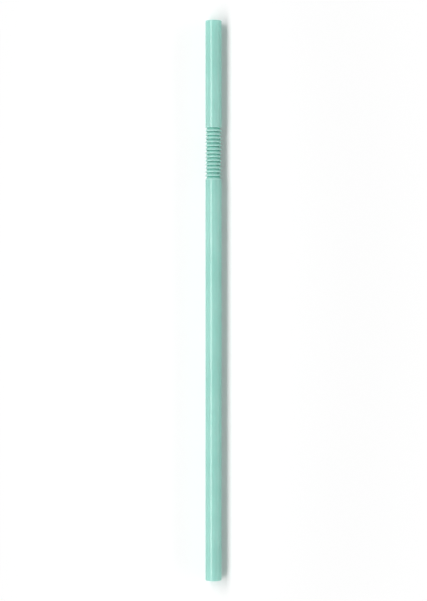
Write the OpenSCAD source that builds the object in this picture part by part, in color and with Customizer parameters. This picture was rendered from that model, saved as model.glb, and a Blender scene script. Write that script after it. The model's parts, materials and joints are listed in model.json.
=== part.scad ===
// Flexible drinking straw of thin polypropylene, in one piece: a round tube with a
// bellows pressed into its wall near the mouth end. The bellows is closed up, as it
// is when the straw is new and straight.
// The straw lies on its side along Y, mouth end towards +Y, middle of its length at
// Y = 0, and Z = 0 is the surface that it rests on. Lengths are in millimetres.

/* [Tube] */
// Length of the whole straw, from cut end to cut end
straw_length = 210; // [150:1:260]
// Outside diameter of the plain tube, which the crests of the bellows share
tube_d = 6; // [4.5:0.1:8]
// Thickness of the wall, the same in the tube and in the pleats
wall = 0.2; // [0.14:0.01:0.24]
// Radius that the cutter leaves on the rims of both cut ends
rim_r = 0.05; // [0.02:0.01:0.06]

/* [Bellows] */
// Plain tube between the bellows and the mouth end
mouth_length = 40; // [20:1:70]
// Number of pleats
pleats = 14; // [6:1:24]
// Distance from one crest to the next
pleat_pitch = 1.4; // [1.2:0.05:2]
// How far the roots are pressed in from the outside of the tube
pleat_depth = 0.8; // [0.65:0.05:1.1]
// How far each short face leans back under the pleat before it, in degrees
tuck_angle = 15; // [0:1:30]
// Radius inside each fold, where the wall meets itself
fold_r = 0.04; // [0.02:0.01:0.06]

/* [Hidden] */
$fn = 96;

// Straight pieces that stand for the curve of one fold, and of one rim
fold_steps = 5;
rim_steps = 2;

// The wall is drawn as a band of even thickness about its middle line, and that
// line runs like a string round pins: one pin inside each crest, which it passes
// turning left, and one outside each root, which it passes turning right.
bend_r = fold_r + wall / 2;
crest_x = tube_d / 2 - wall / 2 - bend_r;
root_x = tube_d / 2 - wall / 2 - pleat_depth + bend_r;
bellows_length = pleats * pleat_pitch;
leg_length = straw_length - mouth_length - bellows_length;

// Height of each crest pin over the root pin before it, at which the short face
// between them leans by tuck_angle
short_rise = 2 * bend_r * cos(tuck_angle)
    - (crest_x - root_x - 2 * bend_r * sin(tuck_angle)) * tan(tuck_angle);

LEFT = 1;
RIGHT = -1;

function crest_pin(i) = [crest_x, leg_length + i * pleat_pitch, LEFT];
function root_pin(i) = [root_x, leg_length + (i + 1) * pleat_pitch - short_rise, RIGHT];

pins = [
    for (i = [0 : pleats - 1])
        each [crest_pin(i), root_pin(i)],
    crest_pin(pleats)
];

// Heading of the line that leaves pin a and meets pin b, in degrees from +X
function heading(a, b) =
    let (
        across = b[0] - a[0],
        along = b[1] - a[1],
        span = norm([across, along])
    )
    atan2(along, across) - asin((b[2] - a[2]) * bend_r / span);

// Headings before and after every pin. The tube on both sides of the bellows runs
// straight up.
headings = [
    90,
    for (i = [0 : len(pins) - 2])
        heading(pins[i], pins[i + 1]),
    90
];

// One side of the wall as it goes round a pin: side is +1 outside and -1 inside
function round_pin(pin, from, to, side) =
    let (r = bend_r + side * pin[2] * wall / 2)
    [
        for (k = [0 : fold_steps])
            let (h = from + (to - from) * k / fold_steps)
            [pin[0] + pin[2] * r * sin(h), pin[1] - pin[2] * r * cos(h)]
    ];

function bellows_line(side) = [
    for (i = [0 : len(pins) - 1])
        each round_pin(pins[i], headings[i], headings[i + 1], side)
];

// Corner of a cut end, rounded through 90 degrees from the heading that it starts at
function rim_corner(x, y, from) = [
    for (k = [0 : rim_steps])
        let (h = from + 90 * k / rim_steps)
        [x + rim_r * cos(h), y + rim_r * sin(h)]
];

function reversed(points) = [
    for (i = [len(points) - 1 : -1 : 0])
        points[i]
];

// Half section of the straw: up the outside, over the mouth rim, and down the bore
module half_section() {
    outer_x = tube_d / 2 - rim_r;
    inner_x = tube_d / 2 - wall + rim_r;
    polygon(concat(
        rim_corner(inner_x, rim_r, 180),
        rim_corner(outer_x, rim_r, 270),
        bellows_line(1),
        rim_corner(outer_x, straw_length - rim_r, 0),
        rim_corner(inner_x, straw_length - rim_r, 90),
        reversed(bellows_line(-1))
    ));
}

module straw() {
    color("#8fd3c0")
        translate([0, -straw_length / 2, tube_d / 2])
            rotate([-90, 0, 0])
                rotate_extrude()
                    half_section();
}

straw();
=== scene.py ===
"""Looks of a flexible drinking straw of pastel mint polypropylene.

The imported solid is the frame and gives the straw's place and sizes. A finer straw stands for it:
its half section is drawn as a chain of points and spun round the straw's axis, with the same wall,
folds and rims, and it carries the finish. A pale floor, soft lamps and a camera that looks
straight down make up the studio.
"""

import json
import logging
import math
from dataclasses import dataclass
from enum import Enum

import bpy
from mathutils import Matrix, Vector


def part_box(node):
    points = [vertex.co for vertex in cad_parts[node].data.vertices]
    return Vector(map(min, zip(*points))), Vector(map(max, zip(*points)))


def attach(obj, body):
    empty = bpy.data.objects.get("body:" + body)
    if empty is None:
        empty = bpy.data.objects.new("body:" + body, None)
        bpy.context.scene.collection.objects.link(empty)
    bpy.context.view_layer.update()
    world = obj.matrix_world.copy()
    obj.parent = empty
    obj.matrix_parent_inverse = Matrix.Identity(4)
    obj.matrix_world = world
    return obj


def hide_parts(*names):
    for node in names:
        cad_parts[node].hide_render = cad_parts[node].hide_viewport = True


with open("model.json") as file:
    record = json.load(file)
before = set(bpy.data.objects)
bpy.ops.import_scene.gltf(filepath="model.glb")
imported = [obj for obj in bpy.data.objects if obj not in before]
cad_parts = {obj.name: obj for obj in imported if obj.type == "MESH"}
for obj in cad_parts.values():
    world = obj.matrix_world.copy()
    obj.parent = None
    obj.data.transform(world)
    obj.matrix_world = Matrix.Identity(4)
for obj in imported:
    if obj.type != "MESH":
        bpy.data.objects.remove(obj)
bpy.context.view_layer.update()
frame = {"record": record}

MM = 0.001
LOG = logging.getLogger("straw")

Point = tuple[float, float]
Colour = tuple[float, float, float, float]


def srgb(red: int, green: int, blue: int) -> Colour:
    """The linear colour of a display colour.

    Args:
        red: The red channel, from 0 to 255.
        green: The green channel, from 0 to 255.
        blue: The blue channel, from 0 to 255.

    Returns:
        The colour as linear red, green, blue and an alpha of 1.
    """
    def linear(channel: int) -> float:
        """One channel without the display's curve."""
        value = channel / 255
        return value / 12.92 if value <= 0.04045 else ((value + 0.055) / 1.055) ** 2.4

    return (linear(red), linear(green), linear(blue), 1.0)


class Side(Enum):
    """A face of the wall."""

    OUTSIDE = 1
    INSIDE = -1


class Turn(Enum):
    """Which way the wall turns as it passes a fold, going towards the mouth end."""

    CREST = 1
    ROOT = -1


@dataclass(frozen=True)
class Fold:
    """One fold of the bellows, as an arc of the half section.

    Attributes:
        radius: Distance of the arc's centre from the straw's axis, in metres.
        height: Distance of the centre from the leg's cut end, in metres.
        turn: Whether the fold is a crest or a root.
    """

    radius: float
    height: float
    turn: Turn

    def heading_to(self, other: "Fold", bend: float) -> float:
        """Heading of the wall's middle line from this fold to the next one.

        Args:
            other: The next fold towards the mouth end.
            bend: Radius of the middle line round a fold, in metres.

        Returns:
            The angle from the outward direction, in radians.
        """
        across = other.radius - self.radius
        along = other.height - self.height
        crossing = (other.turn.value - self.turn.value) * bend
        return math.atan2(along, across) - math.asin(crossing / math.hypot(across, along))

    def arc(self, start: float, end: float, radius: float, steps: int) -> list[Point]:
        """Points of one side of the wall as it passes this fold.

        Args:
            start: Heading of the wall before the fold, in radians.
            end: Heading of the wall after the fold, in radians.
            radius: Radius of that side round the fold, in metres.
            steps: Number of straight pieces that the arc is drawn with.

        Returns:
            The points, each as radius and height.
        """
        reach = self.turn.value * radius
        points = []
        for step in range(steps + 1):
            heading = start + (end - start) * step / steps
            points.append(
                (self.radius + reach * math.sin(heading), self.height - reach * math.cos(heading))
            )
        return points


@dataclass(frozen=True)
class Bellows:
    """The pressed pleats near the mouth end, closed up.

    Attributes:
        start: Distance from the leg's cut end to the first crest, in metres.
        length: Distance from the first crest to the last one, in metres.
        outer_r: Radius of the crests, in metres.
        wall: Thickness of the wall, in metres.
        pleats: Number of pleats.
        depth: How far the roots lie inside the crests, in metres.
        tuck: How far each short face leans back under its pleat, in radians.
        fold_r: Radius inside each fold, in metres.
        fold_steps: Straight pieces in the arc of a fold.
    """

    start: float
    length: float
    outer_r: float
    wall: float
    pleats: int = 14
    depth: float = 0.8 * MM
    tuck: float = math.radians(15)
    fold_r: float = 0.04 * MM
    fold_steps: int = 7

    @property
    def bend(self) -> float:
        """Radius of the wall's middle line round a fold."""
        return self.fold_r + self.wall / 2

    @property
    def root_r(self) -> float:
        """Radius of the outside at the bottom of a root."""
        return self.outer_r - self.depth

    def folds(self) -> list[Fold]:
        """Places the folds.

        Returns:
            All the folds, from the leg to the mouth tube.
        """
        middle_r = self.outer_r - self.wall / 2
        crest_r = middle_r - self.bend
        root_r = middle_r - self.depth + self.bend
        run = crest_r - root_r - 2 * self.bend * math.sin(self.tuck)
        short_rise = 2 * self.bend * math.cos(self.tuck) - run * math.tan(self.tuck)
        pitch = self.length / self.pleats
        folds = [Fold(crest_r, self.start, Turn.CREST)]
        for pleat in range(1, self.pleats + 1):
            crest = self.start + pleat * pitch
            folds.append(Fold(root_r, crest - short_rise, Turn.ROOT))
            folds.append(Fold(crest_r, crest, Turn.CREST))
        return folds

    def line(self, side: Side) -> list[Point]:
        """One side of the wall, from the leg to the mouth tube.

        Args:
            side: The face of the wall to follow.

        Returns:
            The points, each as radius and height.
        """
        folds = self.folds()
        along = math.pi / 2
        headings = [a.heading_to(b, self.bend) for a, b in zip(folds, folds[1:])]
        points = []
        for fold, start, end in zip(folds, [along, *headings], [*headings, along]):
            radius = self.bend + side.value * fold.turn.value * self.wall / 2
            points += fold.arc(start, end, radius, self.fold_steps)
        return points


@dataclass(frozen=True)
class Straw:
    """The whole straw, lying along Y with its mouth end towards +Y.

    Attributes:
        low_y: Place of the leg's cut end, in metres.
        high_y: Place of the mouth's cut end, in metres.
        axis_z: Height of the straw's axis over the floor, in metres.
        outer_r: Outside radius of the tube, in metres.
        bore_r: Inside radius of the tube, in metres.
        bellows: The pleats.
        rim_r: Radius that the cutter leaves on the rims, in metres.
        rim_steps: Straight pieces in the rounding of a rim.
        tube_steps: Straight pieces along each plain tube.
        facets: Flat pieces round the straw.
        weld: Distance below which two points of the mesh are one, in metres.
        smooth: Angle between faces below which the straw is shaded smooth, in radians.
    """

    low_y: float
    high_y: float
    axis_z: float
    outer_r: float
    bore_r: float
    bellows: Bellows
    rim_r: float = 0.05 * MM
    rim_steps: int = 4
    tube_steps: int = 6
    facets: int = 96
    weld: float = 0.001 * MM
    smooth: float = math.radians(40)

    @classmethod
    def from_frame(cls) -> "Straw":
        """Reads the straw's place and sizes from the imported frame.

        Returns:
            The straw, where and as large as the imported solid.
        """
        low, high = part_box("straw")
        mounts = {mount["name"]: mount for mount in frame["record"]["mounts"]}
        outer_r = mounts["leg_outside"]["dims"]["r_mm"] * MM
        bore_r = mounts["leg_bore"]["dims"]["r_mm"] * MM
        leg_wall = mounts["leg_bore"]["dims"]["length_mm"] * MM
        mouth_wall = mounts["mouth_bore"]["dims"]["length_mm"] * MM
        axis_z = mounts["leg_bore"]["pos_m"][2]
        leg = leg_wall + cls.rim_r
        mouth = mouth_wall + cls.rim_r
        bellows = Bellows(
            start=leg,
            length=high.y - low.y - leg - mouth,
            outer_r=outer_r,
            wall=outer_r - bore_r,
        )
        return cls(low.y, high.y, axis_z, outer_r, bore_r, bellows)

    @property
    def length(self) -> float:
        """Length from cut end to cut end."""
        return self.high_y - self.low_y

    def rim_corner(self, radius: float, height: float, start: float) -> list[Point]:
        """Rounded corner of a cut end.

        Args:
            radius: Distance of the rounding's centre from the axis, in metres.
            height: Distance of that centre from the leg's cut end, in metres.
            start: Direction from the centre to the first point, in radians.

        Returns:
            The points, a quarter turn on from the first one.
        """
        turns = [start + math.pi / 2 * step / self.rim_steps for step in range(self.rim_steps + 1)]
        return [
            (radius + self.rim_r * math.cos(turn), height + self.rim_r * math.sin(turn))
            for turn in turns
        ]

    def tube_line(self, radius: float, start: float, end: float) -> list[Point]:
        """Points between the ends of a plain tube, the ends left out.

        Args:
            radius: Radius of the wall's face, in metres.
            start: Height of the tube's first end, in metres.
            end: Height of its other end, in metres.

        Returns:
            The points, evenly spaced.
        """
        steps = range(1, self.tube_steps)
        return [(radius, start + (end - start) * step / self.tube_steps) for step in steps]

    def section(self) -> list[Point]:
        """Outline of the half section.

        Returns:
            The points, once round, each as radius and height.
        """
        outer = self.outer_r - self.rim_r
        inner = self.bore_r + self.rim_r
        low = self.rim_r
        high = self.length - self.rim_r
        first = self.bellows.start
        last = first + self.bellows.length
        return [
            *self.rim_corner(inner, low, math.pi),
            *self.rim_corner(outer, low, math.pi * 3 / 2),
            *self.tube_line(self.outer_r, low, first),
            *self.bellows.line(Side.OUTSIDE),
            *self.tube_line(self.outer_r, last, high),
            *self.rim_corner(outer, high, 0),
            *self.rim_corner(inner, high, math.pi / 2),
            *self.tube_line(self.bore_r, high, last),
            *reversed(self.bellows.line(Side.INSIDE)),
            *self.tube_line(self.bore_r, first, low),
        ]

    def place(self, point: Point) -> Vector:
        """Where a point of the half section lies, drawn above the axis."""
        radius, height = point
        return Vector((0, self.low_y + height, self.axis_z + radius))

    def build(self) -> bpy.types.Object:
        """Draws the half section and spins it round the straw's axis.

        Returns:
            The finished piece, with its place in its mesh.
        """
        places = [self.place(point) for point in self.section()]
        select_nothing()
        bpy.ops.mesh.primitive_circle_add(vertices=3, radius=self.rim_r, location=places[0])
        piece = bpy.context.object
        piece.name = "straw_tube"
        piece.data.name = "straw_tube"
        bpy.ops.object.mode_set(mode="EDIT")
        bpy.ops.mesh.select_all(action="SELECT")
        bpy.ops.mesh.merge(type="CENTER")
        for here, there in zip(places, [*places[1:], places[0]]):
            bpy.ops.mesh.extrude_vertices_move(TRANSFORM_OT_translate={"value": there - here})
        bpy.ops.mesh.select_all(action="SELECT")
        bpy.ops.mesh.remove_doubles(threshold=self.weld)
        bpy.ops.mesh.spin(
            steps=self.facets,
            use_auto_merge=True,
            angle=2 * math.pi,
            center=(0, 0, self.axis_z),
            axis=(0, 1, 0),
        )
        bpy.ops.mesh.select_all(action="SELECT")
        bpy.ops.mesh.remove_doubles(threshold=self.weld)
        bpy.ops.mesh.normals_make_consistent(inside=False)
        bpy.ops.object.mode_set(mode="OBJECT")
        bpy.ops.object.transform_apply(location=True, rotation=True, scale=True)
        bpy.ops.object.shade_smooth_by_angle(angle=self.smooth)
        return piece

    def dress(self, piece: bpy.types.Object, finish: "Polypropylene") -> None:
        """Gives the piece its finish and its place in the frame.

        Args:
            piece: The finished mesh.
            finish: The plastic that it is made of.
        """
        piece.data.materials.append(finish.material(self))
        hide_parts("straw")
        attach(piece, "root")


def select_nothing() -> None:
    """Deselects every object, so that an operator acts on what is added next."""
    bpy.ops.object.select_all(action="DESELECT")


class Signal:
    """An output of a shader node, which can be used in sums."""

    def __init__(self, board: "Board", socket: bpy.types.NodeSocket) -> None:
        """Wraps an output socket.

        Args:
            board: The node tree that the socket belongs to.
            socket: The output socket.
        """
        self.board = board
        self.socket = socket

    def math(self, operation: str, *others: "Signal | float") -> "Signal":
        """A Math node with this signal as its first value.

        Args:
            operation: The node's operation.
            others: The node's further values.

        Returns:
            The node's result.
        """
        return self.board.math(operation, self, *others)

    def __add__(self, other: "Signal | float") -> "Signal":
        """This signal plus another."""
        return self.math("ADD", other)

    def __sub__(self, other: "Signal | float") -> "Signal":
        """This signal less another."""
        return self.math("SUBTRACT", other)

    def __rsub__(self, other: float) -> "Signal":
        """A number less this signal."""
        return self.board.math("SUBTRACT", other, self)

    def __mul__(self, other: "Signal | float") -> "Signal":
        """This signal times another."""
        return self.math("MULTIPLY", other)

    __radd__ = __add__
    __rmul__ = __mul__


class Board:
    """A node tree, and the ways to add to it."""

    def __init__(self, tree: bpy.types.NodeTree) -> None:
        """Empties a node tree and takes it over.

        Args:
            tree: The tree of a material or of the world.
        """
        tree.nodes.clear()
        self.tree = tree

    def add(
        self,
        kind: str,
        settings: dict[str, object] | None = None,
        values: dict[str | int, object] | None = None,
    ) -> bpy.types.Node:
        """Adds a node, and sets or links its sockets.

        Args:
            kind: The node's type.
            settings: The node's own settings, which are set first.
            values: A value or a signal for each named or numbered input.

        Returns:
            The node.
        """
        node = self.tree.nodes.new(kind)
        for name, value in (settings or {}).items():
            setattr(node, name, value)
        for name, value in (values or {}).items():
            if isinstance(value, Signal):
                self.tree.links.new(value.socket, node.inputs[name])
            else:
                node.inputs[name].default_value = value
        return node

    def node(
        self,
        kind: str,
        settings: dict[str, object] | None = None,
        values: dict[str | int, object] | None = None,
        output: str | int = 0,
    ) -> Signal:
        """Adds a node and picks one of its outputs.

        Args:
            kind: The node's type.
            settings: The node's own settings.
            values: A value or a signal for each named or numbered input.
            output: The output's name or number.

        Returns:
            The chosen output.
        """
        return Signal(self, self.add(kind, settings, values).outputs[output])

    def math(self, operation: str, *values: Signal | float) -> Signal:
        """Adds a Math node.

        Args:
            operation: The node's operation.
            values: Its values, in order.

        Returns:
            The node's result.
        """
        return self.node("ShaderNodeMath", {"operation": operation}, dict(enumerate(values)))

    def ramp(self, signal: Signal, start: float, end: float) -> Signal:
        """A smooth rise from 0 to 1 as a signal goes from start to end."""
        values = {"Value": signal, "From Min": start, "From Max": end}
        return self.node("ShaderNodeMapRange", {"interpolation_type": "SMOOTHSTEP"}, values)

    def mix(self, share: Signal | float, first: Signal | Colour, second: Signal | Colour) -> Signal:
        """A colour between two colours.

        Args:
            share: How much of the second colour there is.
            first: The colour at a share of 0.
            second: The colour at a share of 1.

        Returns:
            The mixed colour.
        """
        # Inputs 6 and 7 and output 2 carry colours. The node's other sockets share their names.
        sockets = {0: share, 6: first, 7: second}
        return self.node("ShaderNodeMix", {"data_type": "RGBA"}, sockets, output=2)

    def noise(self, place: Signal, grain: float, detail: float = 2.0) -> Signal:
        """Even noise round 0.5.

        Args:
            place: The coordinates to read.
            grain: Size of the noise's features, in metres.
            detail: How many finer layers it has.

        Returns:
            The noise.
        """
        values = {"Vector": place, "Scale": 1 / grain, "Detail": detail}
        return self.node("ShaderNodeTexNoise", {"noise_dimensions": "3D"}, values)

    def stretched(self, place: Signal, factors: tuple[float, float, float]) -> Signal:
        """Coordinates multiplied by a factor along each axis."""
        return self.node("ShaderNodeMapping", values={"Vector": place, "Scale": factors})

    def distance(self, place: Signal) -> Signal:
        """How far a place is from the origin of its coordinates."""
        settings = {"operation": "LENGTH"}
        return self.node("ShaderNodeVectorMath", settings, {0: place}, output="Value")


@dataclass(frozen=True)
class Polypropylene:
    """Thin, translucent, tinted polypropylene, whose faces both reflect light and let it through.

    Attributes:
        tint: Colour of the light that a face sends back.
        deep: Colour of the denser clouds and streaks in the tint.
        through: Colour of the light that a face lets through.
        pressed: Colour of the light sent back by the crests, which are pressed sharpest.
        doubled_and_painted_shade: Colour sent back by the roots: a denser tint where the wall lies
            on itself, and painted shade that darkens the creases.
        thinness: Share of the light that goes through a face rather than back.
        gloss: Roughness of the plain wall.
        dull: Roughness of the pleats' folds.
        refraction: Index of refraction.
        shine: Level of the reflections, on a scale where 0.5 is what the index gives.
        cloud: Size of the clouds, in metres.
        streak: Width of the streaks, which run along the tube, in metres.
        run: How fast the streaks change along the tube, beside how fast they do round it.
        cloud_share: Share of the clouds in the pattern of the tint, the rest being streaks.
        contrast: Values of the pattern at which the tint is palest and densest.
        grain: Size of the grain in the gloss, in metres.
        grain_depth: How far the grain changes the roughness.
        die_line: Height of the fine lines that the die leaves along the tube, in metres.
        die_strength: How strongly those lines show.
        crest_share: How far the tint turns to pressed on a crest.
        root_doubled_and_shade_share: How far the tint turns to doubled in a root, darkening it with
            a denser tint and painted shade.
        crest_reach: How far in from the crests their finish reaches, in metres.
        root_reach: How far out from the roots their finish reaches, in metres.
        end_reach: How far past the bellows the folds' finish reaches, in metres.
    """

    tint: Colour = srgb(190, 231, 224)
    deep: Colour = srgb(177, 224, 216)
    through: Colour = srgb(207, 241, 235)
    pressed: Colour = srgb(220, 244, 240)
    # The roots' tint: denser where the wall lies on itself, and darker still as painted shade in
    # the creases.
    doubled_and_painted_shade: Colour = srgb(128, 202, 188)
    thinness: float = 0.5
    gloss: float = 0.15
    dull: float = 0.32
    refraction: float = 1.49
    shine: float = 1.0
    cloud: float = 9 * MM
    streak: float = 0.35 * MM
    run: float = 0.012
    cloud_share: float = 0.6
    contrast: tuple[float, float] = (0.35, 0.65)
    grain: float = 0.5 * MM
    grain_depth: float = 0.06
    die_line: float = 0.004 * MM
    die_strength: float = 0.2
    crest_share: float = 0.6
    root_doubled_and_shade_share: float = 0.9
    crest_reach: float = 0.2 * MM
    root_reach: float = 0.6 * MM
    end_reach: float = 0.3 * MM

    def material(self, straw: Straw) -> bpy.types.Material:
        """The plastic, with its pattern set to a straw.

        Args:
            straw: The straw that wears it.

        Returns:
            The finished material.
        """
        material = bpy.data.materials.new("straw_plastic")
        material.use_nodes = True
        board = Board(material.node_tree)
        place = board.node("ShaderNodeTexCoord", output="Object")
        crests, roots = self.folds(board, place, straw)
        streaks = board.noise(board.stretched(place, (1, self.run, 1)), self.streak, detail=3)
        grain = board.noise(place, self.grain) - 0.5
        fold = crests.math("MAXIMUM", roots)
        rough = fold * (self.dull - self.gloss) + grain * self.grain_depth + self.gloss
        bump = board.node(
            "ShaderNodeBump",
            values={"Strength": self.die_strength, "Distance": self.die_line, "Height": streaks},
        )
        face = board.node(
            "ShaderNodeBsdfPrincipled",
            values={
                "Base Color": self.colour(board, place, streaks, crests, roots),
                "Roughness": rough,
                "IOR": self.refraction,
                "Specular IOR Level": self.shine,
                "Normal": bump,
            },
        )
        glow = board.node(
            "ShaderNodeBsdfTranslucent", values={"Color": self.through, "Normal": bump}
        )
        surface = board.node("ShaderNodeMixShader", values={0: self.thinness, 1: face, 2: glow})
        board.add("ShaderNodeOutputMaterial", values={"Surface": surface})
        return material

    def colour(
        self, board: Board, place: Signal, streaks: Signal, crests: Signal, roots: Signal
    ) -> Signal:
        """Colour of the light that a face sends back.

        Args:
            board: The node tree to add to.
            place: Object coordinates.
            streaks: The noise of the streaks.
            crests: Where the crests are, from 0 to 1.
            roots: Where the roots are, from 0 to 1.

        Returns:
            The colour.
        """
        clouds = board.noise(place, self.cloud)
        pattern = clouds * self.cloud_share + streaks * (1 - self.cloud_share)
        plain = board.mix(board.ramp(pattern, *self.contrast), self.tint, self.deep)
        creased = board.mix(crests * self.crest_share, plain, self.pressed)
        # The roots turn darker: partly the denser tint of the doubled wall, partly painted shade in
        # the creases.
        return board.mix(roots * self.root_doubled_and_shade_share, creased, self.doubled_and_painted_shade)

    def folds(self, board: Board, place: Signal, straw: Straw) -> tuple[Signal, Signal]:
        """Where the pleats' crests and roots are, each from 0 to 1.

        Args:
            board: The node tree to add to.
            place: Object coordinates.
            straw: The straw that the folds are on.

        Returns:
            The crests' mask and the roots' mask.
        """
        centred = board.node(
            "ShaderNodeMapping", values={"Vector": place, "Location": (0, 0, -straw.axis_z)}
        )
        radius = board.distance(board.stretched(centred, (1, 0, 1)))
        along = board.node("ShaderNodeSeparateXYZ", values={0: place}, output="Y")
        bellows = straw.bellows
        start = straw.low_y + bellows.start
        end = start + bellows.length
        after = board.ramp(along, start - self.end_reach, start)
        before = board.ramp(along, end + self.end_reach, end)
        within = after * before
        crest = board.ramp(radius, straw.outer_r - self.crest_reach, straw.outer_r)
        root = board.ramp(radius, bellows.root_r + self.root_reach, bellows.root_r)
        return within * crest, within * root


@dataclass(frozen=True)
class Softbox:
    """A long area lamp beside the straw, level along Y and aimed at the straw's axis.

    Attributes:
        name: What the lamp does.
        across: Its place along X, in metres.
        height: Its height over the floor, in metres.
        width: Its short side, in metres.
        power: Its power, in watts.
        length: Its long side, along Y, in metres.
    """

    name: str
    across: float
    height: float
    width: float
    power: float
    length: float = 1.8

    def build(self) -> None:
        """Adds the lamp."""
        select_nothing()
        bpy.ops.object.light_add(
            type="AREA",
            location=(self.across, 0, self.height),
            rotation=(0, math.atan2(self.across, self.height), 0),
        )
        lamp = bpy.context.object
        lamp.name = self.name
        lamp.data.shape = "RECTANGLE"
        lamp.data.size = self.width
        lamp.data.size_y = self.length
        lamp.data.energy = self.power


@dataclass(frozen=True)
class Studio:
    """The pale floor, the lamps, the light all round and the camera.

    Attributes:
        floor: Colour of the floor.
        floor_r: Radius of the floor, in metres.
        floor_sides: Number of straight pieces in the floor's edge.
        fade: Distances along the straw at which the floor starts and ends turning plain white, in
            metres.
        narrow: How many times sooner it does so across the straw.
        daylight: Strength of the light all round.
        lens: Focal length of the camera, in millimetres.
        sensor: Longer side of the camera's sensor, in millimetres.
        fill: How much of the picture's height the straw takes.
        reach: How many times nearer and farther than the straw the camera still sees.
    """

    floor: Colour = srgb(253, 253, 253)
    floor_r: float = 6.0
    floor_sides: int = 96
    fade: tuple[float, float] = (0.12, 0.3)
    narrow: float = 3.5
    daylight: float = 0.28
    lens: float = 100.0
    sensor: float = 36.0
    fill: float = 0.93
    reach: float = 100.0

    def lamps(self) -> list[Softbox]:
        """The lamps, long enough that their gloss shows on the straw from most sides."""
        return [
            Softbox("strip_softbox", across=-0.46, height=0.66, width=0.24, power=9.2),
            Softbox("side_softbox", across=0.85, height=0.3, width=0.16, power=2.6),
        ]

    def build(self, straw: Straw) -> None:
        """Adds the whole studio.

        Args:
            straw: The straw that it is for.
        """
        self.build_floor()
        for lamp in self.lamps():
            lamp.build()
        self.build_world()
        self.build_camera(straw)

    def build_floor(self) -> None:
        """Adds the floor, which the straw rests on."""
        select_nothing()
        bpy.ops.mesh.primitive_circle_add(
            vertices=self.floor_sides, radius=self.floor_r, fill_type="NGON"
        )
        floor = bpy.context.object
        floor.name = "floor"
        material = bpy.data.materials.new("floor_paper")
        material.use_nodes = True
        board = Board(material.node_tree)
        place = board.node("ShaderNodeTexCoord", output="Object")
        distance = board.distance(board.stretched(place, (self.narrow, 1, 1)))
        away = board.ramp(distance, *self.fade) * self.backdrop_rays(board)
        paper = board.node("ShaderNodeBsdfDiffuse", values={"Color": self.floor})
        white = board.node("ShaderNodeEmission", values={"Strength": 1.0})
        surface = board.node("ShaderNodeMixShader", values={0: away, 1: paper, 2: white})
        board.add("ShaderNodeOutputMaterial", values={"Surface": surface})
        floor.data.materials.append(material)

    @staticmethod
    def backdrop_rays(board: Board) -> Signal:
        """Rays that see the white backdrop: the camera's, reflected ones and those let through.

        Args:
            board: The node tree to add to.

        Returns:
            1 for such a ray and 0 for any other.
        """
        kinds = ("Is Camera Ray", "Is Glossy Ray", "Is Transmission Ray")
        camera, glossy, through = (board.node("ShaderNodeLightPath", output=kind) for kind in kinds)
        return camera.math("MAXIMUM", glossy).math("MAXIMUM", through)

    def build_world(self) -> None:
        """Adds the light all round, which looks white to the camera and through the plastic."""
        world = bpy.data.worlds.new("studio")
        bpy.context.scene.world = world
        world.use_nodes = True
        board = Board(world.node_tree)
        strength = self.backdrop_rays(board) * (1 - self.daylight) + self.daylight
        light = board.node(
            "ShaderNodeBackground", values={"Color": (1, 1, 1, 1), "Strength": strength}
        )
        board.add("ShaderNodeOutputWorld", values={"Surface": light})

    def build_camera(self, straw: Straw) -> None:
        """Adds the camera over the straw, with the mouth end at the top of the picture.

        Args:
            straw: The straw that it looks at.
        """
        distance = straw.length / self.fill * self.lens / self.sensor
        middle = (straw.low_y + straw.high_y) / 2
        select_nothing()
        bpy.ops.object.camera_add(location=(0, middle, straw.axis_z + distance), rotation=(0, 0, 0))
        camera = bpy.context.object
        camera.name = "camera"
        camera.data.lens = self.lens
        camera.data.sensor_width = self.sensor
        camera.data.clip_start = distance / self.reach
        camera.data.clip_end = distance * self.reach
        bpy.context.scene.camera = camera


def main() -> None:
    """Builds the studio and the straw."""
    logging.basicConfig(level=logging.INFO, format="%(name)s: %(message)s")
    bpy.context.scene.view_settings.view_transform = "Standard"
    straw = Straw.from_frame()
    Studio().build(straw)
    LOG.info("studio: floor, lamps and camera")
    piece = straw.build()
    straw.dress(piece, Polypropylene())
    LOG.info("%s: %d faces, %d pleats", piece.name, len(piece.data.polygons), straw.bellows.pleats)


if __name__ == "__main__":
    main()
